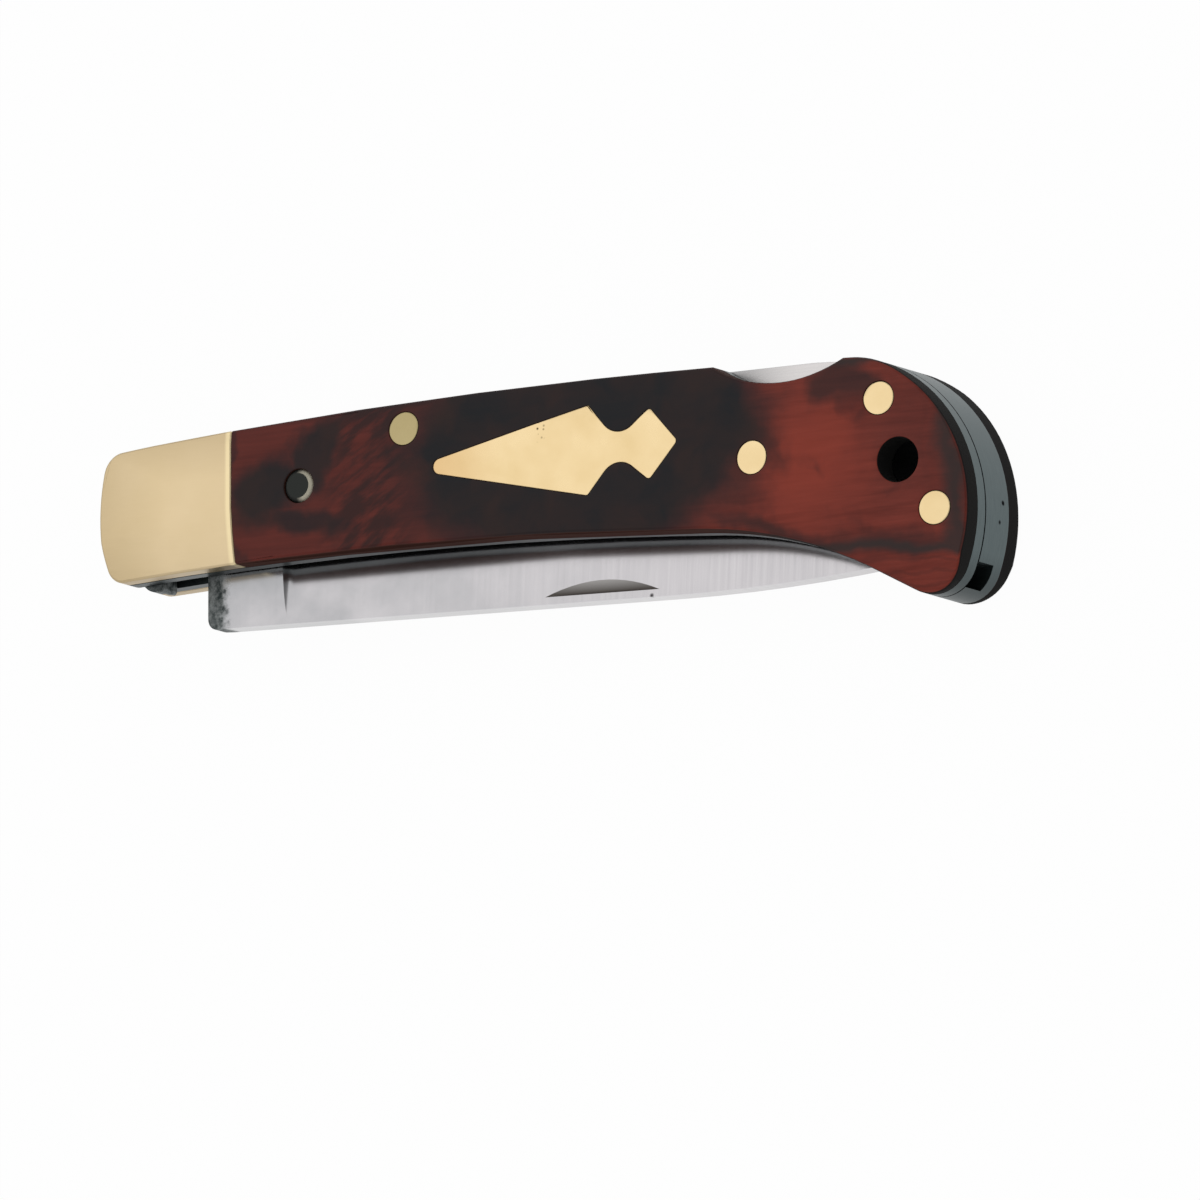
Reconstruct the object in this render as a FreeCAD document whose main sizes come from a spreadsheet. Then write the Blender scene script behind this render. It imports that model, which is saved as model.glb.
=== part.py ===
"""Folding lock-back pocket knife, 100 mm long when closed.

The closed knife lies on its back scale. X runs along the handle to the butt, Y from
the blade slot to the spine, Z up through the thickness. All sizes are in millimetres.
"""
import FreeCAD
import Part
import math
import os
import Sketcher

doc = FreeCAD.newDocument("pocket_knife")
sheet = doc.addObject("Spreadsheet::Sheet", "Sizes")

SIZES = {
    # handle outline: distances along it from its front end or its butt, heights from its axis
    "handle_length": 100.0,
    "axis_rise": 4.05,
    "front_bow": 1.0,
    "front_top": 6.0,
    "front_bottom": 6.85,
    "spine_bow": 1.45,
    "spine_end": 11.7,
    "butt_radius": 16.3,
    "butt_centre_drop": 7.9,
    "tail_drop": 17.6,
    "belly_end": 19.0,
    "belly_end_drop": 8.9,
    "belly_bow": 1.65,
    "front_top_radius": 2.5,
    "front_bottom_radius": 1.6,
    "spine_corner_radius": 10.0,
    "tail_corner_radius": 3.8,
    "belly_corner_radius": 50.0,
    # layers across the thickness
    "scale_thickness": 3.05,
    "liner_thickness": 1.5,
    "blade_thickness": 2.4,
    "washer_thickness": 0.2,
    "running_play": 0.05,
    "bar_side_play": 0.12,
    "spring_side_play": 0.25,
    # crown: radius at each end, and where its highest line runs
    "crown_overhang": 6.0,
    "crown_front_radius": 40.0,
    "crown_front_height": 3.9,
    "crown_front_rise": 0.08,
    "crown_butt_radius": 42.0,
    "crown_butt_drop": 3.0,
    "crown_butt_rise": 0.3,
    "roll_overhang": 2.0,
    "roll_front_run": 11.0,
    "roll_front_fall": 0.62,
    "roll_butt_run": 18.0,
    "roll_butt_fall": 1.3,
    # bolsters and their rivets
    "bolster_length": 15.7,
    "rivet_radius": 1.0,
    "rivet_setback": 3.0,
    "rivet_height": 0.5,
    "rivet_depth": 1.2,
    # pins, lanyard hole and thumb scallop
    "pin_radius": 1.7,
    "pin_fit": 0.01,
    "rocker_place": 35.8,
    "rocker_height": 5.4,
    "stop_place": 23.6,
    "stop_height": 0.8,
    "stop_proud": 0.15,
    "stop_rim": 0.45,
    "spring_pin_setback": 24.0,
    "spring_pin_drop": 1.3,
    "upper_pin_setback": 9.6,
    "upper_pin_height": 3.3,
    "lower_pin_setback": 3.5,
    "lower_pin_drop": 8.1,
    "lanyard_setback": 7.5,
    "lanyard_drop": 3.0,
    "lanyard_radius": 2.25,
    "scallop_setback": 21.2,
    "scallop_floor": 6.0,
    "scallop_radius": 14.5,
    # arrow inlay
    "arrow_front_gap": 0.4,
    "arrow_rear_gap": 6.8,
    "arrow_height": 1.2,
    "arrow_head_half": 4.55,
    "arrow_notch_run": 3.4,
    "arrow_notch_half": 0.7,
    "arrow_tail_run": 3.7,
    "arrow_tail_half": 3.65,
    "arrow_point_run": 3.3,
    "arrow_tip_radius": 0.82,
    "arrow_corner_radius": 0.45,
    "arrow_notch_radius": 2.3,
    "arrow_depth": 1.2,
    # blade
    "pivot_place": 5.25,
    "pivot_drop": 2.2,
    "pivot_radius": 1.8,
    "pivot_bite": 1.3,
    "washer_radius": 2.9,
    "tang_radius": 5.25,
    "notch_start": 0.4,
    "notch_floor": 3.0,
    "notch_corner_radius": 0.35,
    "shoulder_place": 4.5,
    "spine_drop_start": 9.5,
    "spine_drop_end": 11.0,
    "spine_run": 27.5,
    "spine_tip_radius": 217.0,
    "tip_setback": 8.5,
    "tip_drop": 9.9,
    "belly_run": 31.5,
    "belly_radius": 53.6,
    "edge_fall": 0.55,
    "kick_gap": 0.15,
    "kick_place": 8.5,
    "seat_end": 0.6,
    "shoulder_radius": 1.2,
    "kick_radius": 2.5,
    "plunge_place": 13.0,
    "plunge_radius": 1.4,
    "shoulder_bevel_run": 2.0,
    "shoulder_bevel_depth": 0.45,
    "edge_half": 0.12,
    "nick_place": 50.6,
    "nick_rise": 0.75,
    "nick_width": 1.7,
    "nick_length": 13.2,
    "nick_depth": 0.6,
    # lock bar, spring and butt spacer
    "tooth_gap": 0.08,
    "tooth_play": 0.15,
    "bar_front": 1.4,
    "bar_relief": 0.7,
    "rocker_boss": 3.3,
    "bar_end_gap": 0.9,
    "spacer_front_setback": 12.3,
    "spacer_knee_drop": 5.4,
    "spacer_foot_setback": 7.0,
    "spacer_foot_drop": 11.0,
    "window_top_drop": 13.1,
    "window_height": 2.4,
    "window_setback": 4.4,
    "spring_thickness": 0.9,
    "spring_gap": 0.05,
    "spring_reach": 15.5,
    "spring_seat": 1.1,
    # reach of a cut past the handle's outline
    "cut_reach": 12.0,
}

for row, (name, number) in enumerate(SIZES.items(), start=1):
    sheet.set(f"A{row}", name.replace("_", " "))
    sheet.set(f"B{row}", str(number))
    sheet.setAlias(f"B{row}", name)
doc.recompute()


class Size:
    """A number, and the sheet formula that it follows."""

    def __init__(self, value, formula):
        self.value = value
        self.formula = formula

    def __add__(self, other):
        other = as_size(other)
        return Size(self.value + other.value, f"({self.formula} + {other.formula})")

    def __sub__(self, other):
        other = as_size(other)
        return Size(self.value - other.value, f"({self.formula} - {other.formula})")

    def __mul__(self, other):
        other = as_size(other)
        return Size(self.value * other.value, f"({self.formula} * {other.formula})")

    def __truediv__(self, other):
        other = as_size(other)
        return Size(self.value / other.value, f"({self.formula} / {other.formula})")

    def __neg__(self):
        return as_size(0) - self


def as_size(number):
    if isinstance(number, Size):
        return number
    return Size(float(number), str(number))


def root(size):
    return Size(math.sqrt(size.value), f"sqrt({size.formula})")


def get(name):
    return Size(float(sheet.get(name)), f"Sizes.{name}")


def tie(item, field, size):
    """Sets a property from a size and keeps it bound to the sheet."""
    item.setExpression(field, size.formula)


def arc_radius(half, bow):
    """Radius of an arc from half its chord and its height."""
    return (half * half + bow * bow) / (bow * 2)


def from_front(distance):
    return distance - get("handle_length") / 2


def from_butt(distance):
    return get("handle_length") / 2 - distance


def above_axis(height):
    return get("axis_rise") + height


def below_axis(drop):
    return get("axis_rise") - drop


# Levels through the thickness
scale_thickness = get("scale_thickness")
liner_thickness = get("liner_thickness")
well_width = get("blade_thickness") + (get("washer_thickness") + get("running_play")) * 2
zero = scale_thickness * 0
back_liner_level = scale_thickness
well_level = back_liner_level + liner_thickness
front_liner_level = well_level + well_width
front_scale_level = front_liner_level + liner_thickness
total_thickness = front_scale_level + scale_thickness
blade_level = (total_thickness - get("blade_thickness")) / 2


def new_body(label, level):
    body = doc.addObject("PartDesign::Body", label)
    body.Label = label
    tie(body, "Placement.Base.z", level)
    return body


def new_sketch(body, name, role="XY_Plane", offset=None):
    plane = [item for item in body.Origin.OriginFeatures if item.Role == role][0]
    sketch = body.newObject("Sketcher::SketchObject", name)
    sketch.AttachmentSupport = [(plane, "")]
    sketch.MapMode = "FlatFace"
    if offset is not None:
        tie(sketch, "AttachmentOffset.Base.z", offset)
    return sketch


def limit(sketch, constraint, size):
    number = sketch.addConstraint(constraint)
    sketch.setExpression(f"Constraints[{number}]", size.formula)


def pin_down(sketch, item, end, point):
    """Fixes one point of a sketch at its distances from the origin."""
    x, y = point
    limit(sketch, Sketcher.Constraint("DistanceX", -1, 1, item, end, x.value), x)
    limit(sketch, Sketcher.Constraint("DistanceY", -1, 1, item, end, y.value), y)


def draw_loop(sketch, corners, bends):
    """Draws a closed loop, anticlockwise, of lines and of arcs.

    bends holds the radius of each side that is an arc, under the number of the corner
    that it starts from. A side bulges outwards, or inwards where bends has a pair.
    """
    starts = []
    ends = []
    for index, first in enumerate(corners):
        last = corners[(index + 1) % len(corners)]
        a = FreeCAD.Vector(first[0].value, first[1].value, 0)
        b = FreeCAD.Vector(last[0].value, last[1].value, 0)
        if index not in bends:
            item = sketch.addGeometry(Part.LineSegment(a, b))
            starts.append((item, 1))
            ends.append((item, 2))
            continue
        bend = bends[index]
        inward = isinstance(bend, tuple)
        radius = bend[0] if inward else bend
        chord = b - a
        left = FreeCAD.Vector(-chord.y, chord.x, 0).normalize()
        reach = math.sqrt(radius.value ** 2 - (chord.Length / 2) ** 2)
        centre = (a + b) / 2 + left * (-reach if inward else reach)
        circle = Part.Circle(centre, FreeCAD.Vector(0, 0, 1), radius.value)
        start, end = (b, a) if inward else (a, b)
        first_angle = math.atan2(start.y - centre.y, start.x - centre.x)
        last_angle = math.atan2(end.y - centre.y, end.x - centre.x)
        item = sketch.addGeometry(Part.ArcOfCircle(circle, first_angle, last_angle))
        starts.append((item, 2 if inward else 1))
        ends.append((item, 1 if inward else 2))
        limit(sketch, Sketcher.Constraint("Radius", item, radius.value), radius)
    for index, point in enumerate(corners):
        item, end = starts[index]
        before, tail = ends[index - 1]
        sketch.addConstraint(Sketcher.Constraint("Coincident", before, tail, item, end))
        pin_down(sketch, item, end, point)


def draw_circle(sketch, centre, radius):
    middle = FreeCAD.Vector(centre[0].value, centre[1].value, 0)
    circle = Part.Circle(middle, FreeCAD.Vector(0, 0, 1), radius.value)
    item = sketch.addGeometry(circle)
    pin_down(sketch, item, 3, centre)
    limit(sketch, Sketcher.Constraint("Radius", item, radius.value), radius)


def pad(body, sketch, length):
    feature = body.newObject("PartDesign::Pad", "Pad")
    feature.Profile = sketch
    tie(feature, "Length", length)
    doc.recompute()
    return feature


def cut_through(body, sketch):
    """Cuts a sketch right through a body, both ways, and checks that it removed something."""
    before = body.Shape.Volume
    feature = body.newObject("PartDesign::Pocket", "Cut")
    feature.Profile = sketch
    feature.SideType = "Symmetric"
    feature.Type = "ThroughAll"
    doc.recompute()
    if body.Shape.Volume >= before:
        raise RuntimeError(f"{body.Label}: {sketch.Label} cuts nothing")
    return feature


def round_upright(body, points, radius):
    """Rounds the edges of a body that stand up from the given points of its outline."""
    tip = body.Tip
    names = []
    for index, edge in enumerate(tip.Shape.Edges, start=1):
        ends = [vertex.Point for vertex in edge.Vertexes]
        if len(ends) != 2 or abs(ends[0].z - ends[1].z) < get("running_play").value:
            continue
        for x, y in points:
            spot = FreeCAD.Vector(x.value, y.value, 0)
            near = [(FreeCAD.Vector(end.x, end.y, 0) - spot).Length for end in ends]
            if max(near) < get("running_play").value:
                names.append(f"Edge{index}")
    feature = body.newObject("PartDesign::Fillet", "Round")
    feature.Base = (tip, names)
    tie(feature, "Radius", radius)
    doc.recompute()


def common(label, item, tool):
    feature = doc.addObject("Part::Common", label)
    feature.Label = label
    feature.Base = item
    feature.Tool = tool
    return feature


# The handle's outline: front arc, spine arc, butt arc, straight tail, hollow belly
front_top = (from_front(get("front_bow")), above_axis(get("front_top")))
front_bottom = (from_front(get("front_bow")), below_axis(get("front_bottom")))
butt_centre_x = from_butt(get("butt_radius"))
butt_centre_y = below_axis(get("butt_centre_drop"))
butt_square = get("butt_radius") * get("butt_radius")
spine_end_run = from_butt(get("spine_end")) - butt_centre_x
spine_end = (
    from_butt(get("spine_end")),
    butt_centre_y + root(butt_square - spine_end_run * spine_end_run),
)
tail_fall = get("tail_drop") - get("butt_centre_drop")
tail = (butt_centre_x + root(butt_square - tail_fall * tail_fall), below_axis(get("tail_drop")))
belly_end = (from_butt(get("belly_end")), below_axis(get("belly_end_drop")))

front_half = (get("front_top") + get("front_bottom")) / 2
spine_half = (spine_end[0] - front_top[0]) / 2
belly_half = (belly_end[0] - front_bottom[0]) / 2
outline_corners = [front_bottom, belly_end, tail, spine_end, front_top]
outline_bends = {
    0: (arc_radius(belly_half, get("belly_bow")),),
    2: get("butt_radius"),
    3: arc_radius(spine_half, get("spine_bow")),
    4: arc_radius(front_half, get("front_bow")),
}


def handle_plate(label, level, thickness):
    """A plate with the handle's whole outline."""
    body = new_body(label, level)
    sketch = new_sketch(body, f"{label}_outline")
    draw_loop(sketch, outline_corners, outline_bends)
    pad(body, sketch, thickness)
    round_upright(body, [belly_end], get("belly_corner_radius"))
    round_upright(body, [tail], get("tail_corner_radius"))
    round_upright(body, [spine_end], get("spine_corner_radius"))
    round_upright(body, [front_top], get("front_top_radius"))
    round_upright(body, [front_bottom], get("front_bottom_radius"))
    return body


far_front = from_front(-get("cut_reach"))
far_butt = from_butt(-get("cut_reach"))
far_up = above_axis(get("cut_reach") * 2)
far_down = below_axis(get("cut_reach") * 2)


def keep_inside(body, corners, bends):
    """Cuts away all of a plate that lies outside a loop."""
    sketch = new_sketch(body, f"{body.Label}_trim")
    edge = get("cut_reach")
    frame = [
        (far_front - edge, far_down - edge),
        (far_butt + edge, far_down - edge),
        (far_butt + edge, far_up + edge),
        (far_front - edge, far_up + edge),
    ]
    draw_loop(sketch, frame, {})
    draw_loop(sketch, corners, bends)
    cut_through(body, sketch)


def box_loop(left, right, bottom, top):
    return [(left, bottom), (right, bottom), (right, top), (left, top)]


# Where the pins and holes are
rocker = (from_front(get("rocker_place")), above_axis(get("rocker_height")))
stop = (from_front(get("stop_place")), above_axis(get("stop_height")))
spring_pin = (from_butt(get("spring_pin_setback")), below_axis(get("spring_pin_drop")))
upper_pin = (from_butt(get("upper_pin_setback")), above_axis(get("upper_pin_height")))
lower_pin = (from_butt(get("lower_pin_setback")), below_axis(get("lower_pin_drop")))
lanyard = (from_butt(get("lanyard_setback")), below_axis(get("lanyard_drop")))
pivot = (from_front(get("pivot_place")), below_axis(get("pivot_drop")))
pin_hole = get("pin_radius") + get("pin_fit")
pivot_hole = get("pivot_radius") + get("pin_fit")
rivet_hole = get("rivet_radius") + get("pin_fit")
bolster_end = from_front(get("bolster_length"))
rivet = (bolster_end - get("rivet_setback"), above_axis(get("rivet_height")))
scallop = (
    from_butt(get("scallop_setback")),
    above_axis(get("scallop_floor") + get("scallop_radius")),
)


def drill(body, name, holes):
    """Drills round holes, each a centre and a radius, right through a body."""
    sketch = new_sketch(body, f"{body.Label}_{name}")
    for centre, radius in holes:
        draw_circle(sketch, centre, radius)
    cut_through(body, sketch)


def drill_blind(body, name, holes, floor, depth):
    """Drills holes of one depth downwards from the top of that depth."""
    before = body.Shape.Volume
    sketch = new_sketch(body, f"{body.Label}_{name}", offset=floor + depth)
    for centre, radius in holes:
        draw_circle(sketch, centre, radius)
    feature = body.newObject("PartDesign::Pocket", "Blind")
    feature.Profile = sketch
    tie(feature, "Length", depth)
    doc.recompute()
    if body.Shape.Volume >= before:
        raise RuntimeError(f"{body.Label}: {name} cuts nothing")


scale_holes = [
    (rocker, pin_hole),
    (stop, pin_hole),
    (spring_pin, pin_hole),
    (upper_pin, pin_hole),
    (lower_pin, pin_hole),
    (lanyard, get("lanyard_radius")),
]

# Crown of the handle: two long cones, one rounding the front and one the back, and a
# side profile that rolls off towards both ends
crown_front_radius = get("crown_front_radius")
crown_butt_radius = get("crown_butt_radius")
crown_run = get("handle_length") + get("crown_overhang") * 2
crown_shift = get("crown_front_height") + get("crown_butt_drop")
crown_climb = get("crown_butt_rise") - get("crown_front_rise")
crown_spread = crown_butt_radius - crown_front_radius
crown_line = root(crown_run * crown_run + crown_shift * crown_shift + crown_climb * crown_climb)
crown_height = root(crown_line * crown_line - crown_spread * crown_spread)


def crown_cone(name, level, side):
    """A cone whose highest line runs along the middle of one face of the handle."""
    start = FreeCAD.Vector(
        from_front(-get("crown_overhang")).value,
        above_axis(get("crown_front_height")).value,
        level.value + side * get("crown_front_rise").value,
    )
    end = FreeCAD.Vector(
        from_butt(-get("crown_overhang")).value,
        below_axis(get("crown_butt_drop")).value,
        level.value + side * get("crown_butt_rise").value,
    )
    along = (end - start).normalize()
    up = FreeCAD.Vector(0, 0, side)
    out = (up - along * up.dot(along)).normalize()
    rake = math.asin(crown_spread.value / crown_line.value)
    spoke = along * math.sin(rake) + out * math.cos(rake)
    axis = along * math.cos(rake) - out * math.sin(rake)
    cone = doc.addObject("Part::Cone", name)
    tie(cone, "Radius1", crown_front_radius)
    tie(cone, "Radius2", crown_butt_radius)
    tie(cone, "Height", crown_height)
    turn = FreeCAD.Rotation(spoke, axis.cross(spoke), axis, "ZXY")
    cone.Placement = FreeCAD.Placement(start - spoke * crown_front_radius.value, turn)
    return cone


front_cone = crown_cone("front_cone", total_thickness, 1)
back_cone = crown_cone("back_cone", zero, -1)
lens = common("handle_lens", front_cone, back_cone)

roll_front = from_front(-get("roll_overhang"))
roll_butt = from_butt(-get("roll_overhang"))
roll_front_start = roll_front + get("roll_front_run")
roll_butt_start = roll_butt - get("roll_butt_run")
front_fall = get("roll_front_fall")
butt_fall = get("roll_butt_fall")
front_roll_radius = arc_radius(get("roll_front_run"), front_fall)
butt_roll_radius = arc_radius(get("roll_butt_run"), butt_fall)
side_profile = new_body("side_profile", zero)
profile_sketch = new_sketch(side_profile, "profile_outline", "XZ_Plane")
profile_corners = [
    (roll_front, front_fall),
    (roll_front_start, zero),
    (roll_butt_start, zero),
    (roll_butt, butt_fall),
    (roll_butt, total_thickness - butt_fall),
    (roll_butt_start, total_thickness),
    (roll_front_start, total_thickness),
    (roll_front, total_thickness - front_fall),
]
profile_bends = {
    0: front_roll_radius,
    2: butt_roll_radius,
    4: butt_roll_radius,
    6: front_roll_radius,
}
draw_loop(profile_sketch, profile_corners, profile_bends)
profile_pad = pad(side_profile, profile_sketch, get("cut_reach") * 4)
profile_pad.SideType = "Symmetric"
crown = common("handle_crown", lens, side_profile)
doc.recompute()

parts = {}

# Liners: flat steel plates with the thumb scallop and every hole
for side, level in (("front", front_liner_level), ("back", back_liner_level)):
    liner = handle_plate(f"{side}_liner", level, liner_thickness)
    drill(liner, "scallop", [(scallop, get("scallop_radius"))])
    drill(liner, "pins", scale_holes)
    drill(liner, "pivot", [(pivot, pivot_hole)])
    drill(liner, "rivet", [(rivet, rivet_hole)])
    parts[f"{side}_liner"] = liner

# Bolsters: brass caps with blind holes for the pivot pin and a rivet
for side, level in (("front", front_scale_level), ("back", zero)):
    block = handle_plate(f"{side}_bolster_block", level, scale_thickness)
    keep_inside(block, box_loop(far_front, bolster_end, far_down, far_up), {})
    bite = get("pivot_bite")
    depth = get("rivet_depth")
    pivot_floor = zero if side == "front" else scale_thickness - bite
    rivet_floor = zero if side == "front" else scale_thickness - depth
    drill_blind(block, "pivot", [(pivot, pivot_hole)], pivot_floor, bite)
    drill_blind(block, "rivet", [(rivet, rivet_hole)], rivet_floor, depth)
    parts[f"{side}_bolster"] = common(f"{side}_bolster", block, crown)

# Arrow inlay: brass, let into the front scale and flush with its crown
arrow_y = above_axis(get("arrow_height"))
arrow_tip_x = rocker[0] + get("arrow_front_gap")
arrow_point_x = spring_pin[0] - get("pin_radius") - get("arrow_rear_gap")
arrow_tail_x = arrow_point_x - get("arrow_point_run")
arrow_notch_x = arrow_tail_x - get("arrow_tail_run")
arrow_head_x = arrow_notch_x - get("arrow_notch_run")
arrow_tip = (arrow_tip_x, arrow_y)
arrow_point = (arrow_point_x, arrow_y)
arrow_heads = []
arrow_notches = []
arrow_tails = []
for side in (-1, 1):
    arrow_heads.append((arrow_head_x, arrow_y + get("arrow_head_half") * side))
    arrow_notches.append((arrow_notch_x, arrow_y + get("arrow_notch_half") * side))
    arrow_tails.append((arrow_tail_x, arrow_y + get("arrow_tail_half") * side))
lower = [arrow_heads[0], arrow_notches[0], arrow_tails[0]]
upper = [arrow_tails[1], arrow_notches[1], arrow_heads[1]]
arrow_block = new_body("arrow_block", total_thickness - get("arrow_depth"))
arrow_sketch = new_sketch(arrow_block, "arrow_outline")
draw_loop(arrow_sketch, [arrow_tip] + lower + [arrow_point] + upper, {})
pad(arrow_block, arrow_sketch, get("arrow_depth"))
round_upright(arrow_block, arrow_notches, get("arrow_notch_radius"))
round_upright(arrow_block, [arrow_tip], get("arrow_tip_radius"))
round_upright(arrow_block, arrow_heads + arrow_tails + [arrow_point], get("arrow_corner_radius"))
parts["arrow_inlay"] = common("arrow_inlay", arrow_block, crown)

# Scales: crowned wooden slabs behind the bolsters, the front one with the arrow's recess
for side, level in (("front", front_scale_level), ("back", zero)):
    block = handle_plate(f"{side}_scale_block", level, scale_thickness)
    keep_inside(block, box_loop(bolster_end, far_butt, far_down, far_up), {})
    drill(block, "scallop", [(scallop, get("scallop_radius"))])
    drill(block, "pins", scale_holes)
    if side == "front":
        crowned = common("front_scale_crowned", block, crown)
        front_scale = doc.addObject("Part::Cut", "front_scale")
        front_scale.Label = "front_scale"
        front_scale.Base = crowned
        front_scale.Tool = arrow_block
        parts["front_scale"] = front_scale
    else:
        parts["back_scale"] = common("back_scale", block, crown)


def rod(label, centre, radius, bottom, height):
    item = doc.addObject("Part::Cylinder", label)
    item.Label = label
    tie(item, "Radius", radius)
    tie(item, "Height", height)
    tie(item, "Placement.Base.x", centre[0])
    tie(item, "Placement.Base.y", centre[1])
    tie(item, "Placement.Base.z", bottom)
    return item


# Brass pins through both scales, ground flush with the crown
for label, centre in (
    ("rocker_pin", rocker),
    ("spring_pin", spring_pin),
    ("upper_butt_pin", upper_pin),
    ("lower_butt_pin", lower_pin),
):
    bar = rod(f"{label}_rod", centre, get("pin_radius"), zero, total_thickness)
    parts[label] = common(label, bar, crown)

# Blade stop pin: steel, its front end a little proud with a bevelled rim
stop_body = new_body("blade_stop_pin", zero)
stop_sketch = new_sketch(stop_body, "stop_circle")
draw_circle(stop_sketch, stop, get("pin_radius"))
stop_length = total_thickness + get("stop_proud")
stop_pad = pad(stop_body, stop_sketch, stop_length)
stop_rim = stop_body.newObject("PartDesign::Chamfer", "stop_rim")
heights = [edge.CenterOfMass.z for edge in stop_pad.Shape.Edges]
stop_rim.Base = (stop_pad, [f"Edge{heights.index(max(heights)) + 1}"])
tie(stop_rim, "Size", get("stop_rim"))
parts["blade_stop_pin"] = stop_body

# Pivot pin: ends in the bolsters, so that it does not show
pivot_bottom = scale_thickness - get("pivot_bite")
pivot_length = total_thickness - pivot_bottom * 2
parts["pivot_pin"] = rod("pivot_pin", pivot, get("pivot_radius"), pivot_bottom, pivot_length)

# Rivets: one in each bolster, flush with the inner face of the liner
rivet_length = liner_thickness + get("rivet_depth")
for side, bottom in (
    ("front", front_liner_level),
    ("back", well_level - rivet_length),
):
    label = f"{side}_bolster_rivet"
    parts[label] = rod(label, rivet, get("rivet_radius"), bottom, rivet_length)

# Washers: thin bronze rings between the tang and the liners
for side, level in (
    ("front", front_liner_level - get("washer_thickness")),
    ("back", well_level),
):
    washer = new_body(f"{side}_pivot_washer", level)
    sketch = new_sketch(washer, f"{side}_washer_ring")
    draw_circle(sketch, pivot, get("washer_radius"))
    draw_circle(sketch, pivot, get("pivot_radius") + get("running_play"))
    pad(washer, sketch, get("washer_thickness"))
    parts[f"{side}_pivot_washer"] = washer

# Blade, closed: tang with lock notch and closed seat, straight spine, edge with a belly
tang = get("tang_radius")
tang_square = tang * tang
notch_start = get("notch_start")
seat_end = get("seat_end")
seat_floor = tang - get("bar_relief")
diagonal = tang / root(as_size(2))
tip_x = from_butt(get("tip_setback")) - pivot[0]
edge_y = stop[1] - get("pin_radius") - get("kick_gap") - pivot[1]


def from_pivot(x, y):
    return (pivot[0] + x, pivot[1] + y)


shoulder = from_pivot(get("shoulder_place"), -get("spine_drop_start"))
spine_turn = from_pivot(tip_x - get("spine_run"), -get("spine_drop_end"))
tip = from_pivot(tip_x, -get("tip_drop"))
belly_start = from_pivot(tip_x - get("belly_run"), edge_y - get("edge_fall"))
kick = from_pivot(get("kick_place"), edge_y)
blade_corners = [
    from_pivot(-notch_start, -root(tang_square - notch_start * notch_start)),
    from_pivot(-notch_start, -get("notch_floor")),
    from_pivot(get("shoulder_place"), -get("notch_floor")),
    shoulder,
    spine_turn,
    tip,
    belly_start,
    kick,
    from_pivot(diagonal, diagonal),
    from_pivot(seat_end, root(tang_square - seat_end * seat_end)),
    from_pivot(seat_end, seat_floor),
    from_pivot(-root(tang_square - seat_floor * seat_floor), seat_floor),
]
blade_bends = {
    4: get("spine_tip_radius"),
    5: get("belly_radius"),
    8: tang,
    11: tang,
}
blade_body = new_body("blade_body", blade_level)
blade_sketch = new_sketch(blade_body, "blade_outline")
draw_loop(blade_sketch, blade_corners, blade_bends)
pad(blade_body, blade_sketch, get("blade_thickness"))
round_upright(blade_body, [blade_corners[0]], get("notch_corner_radius"))
round_upright(blade_body, [shoulder], get("shoulder_radius"))
round_upright(blade_body, [kick], get("kick_radius"))
drill(blade_body, "pivot_hole", [(pivot, get("pivot_radius") + get("running_play"))])

# Flat grinds, from the spine down to the edge, with a round-cornered plunge
spine_line = FreeCAD.Vector(
    spine_turn[0].value - shoulder[0].value, spine_turn[1].value - shoulder[1].value, 0
).normalize()
across = FreeCAD.Vector(-spine_line.y, spine_line.x, 0)
blade_half = get("blade_thickness") / 2
grind_width = (kick[1].value - spine_turn[1].value) * across.y
grind_depth = blade_half.value - get("edge_half").value
bevel = math.atan2(grind_depth, grind_width)
up = FreeCAD.Vector(0, 0, 1)
plunge_run = get("plunge_place").value - get("shoulder_place").value
plunge_root = FreeCAD.Vector(shoulder[0].value, shoulder[1].value, 0) + spine_line * plunge_run
lying = FreeCAD.Placement(FreeCAD.Vector(0, 0, 0), FreeCAD.Rotation(FreeCAD.Vector(1, 0, 0), 90))
grind_end = get("handle_length")
grind_top = get("blade_thickness") * 2
plunge = get("plunge_radius")

for side, out in (("front", 1), ("back", -1)):
    face = blade_half.value * (1 + out)
    normal = up * (out * math.cos(bevel)) + across * math.sin(bevel)
    turn = FreeCAD.Rotation(spine_line, normal, spine_line.cross(normal), "XYZ")
    spot = FreeCAD.Placement(plunge_root + up * face, turn)
    grind = new_sketch(blade_body, f"{side}_grind", "XZ_Plane")
    grind.AttachmentOffset = lying.inverse().multiply(spot)
    grind_corners = [
        (zero, grind_top),
        (zero, plunge),
        (plunge, zero),
        (grind_end, zero),
        (grind_end, grind_top),
    ]
    draw_loop(grind, grind_corners, {1: plunge})
    cut_through(blade_body, grind)

# Shoulder bevel: a shallow slope ground on both faces where the tang leaves the handle
bevel_top = get("blade_thickness")
bevel_run = shoulder[0] + get("shoulder_bevel_run")
bevel_depth = get("shoulder_bevel_depth")
bevel_start = pivot[1] - get("notch_floor")
bevel_sketch = new_sketch(blade_body, "shoulder_bevels", "XZ_Plane", -bevel_start)
front_bevel = [(shoulder[0], bevel_top - bevel_depth), (bevel_run, bevel_top), (shoulder[0], bevel_top)]
back_bevel = [(shoulder[0], zero), (bevel_run, zero), (shoulder[0], bevel_depth)]
draw_loop(bevel_sketch, front_bevel, {})
draw_loop(bevel_sketch, back_bevel, {})
bevel_cut = blade_body.newObject("PartDesign::Pocket", "Bevels")
bevel_cut.Profile = bevel_sketch
bevel_cut.Reversed = True
tie(bevel_cut, "Length", get("spine_drop_end"))
doc.recompute()

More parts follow.
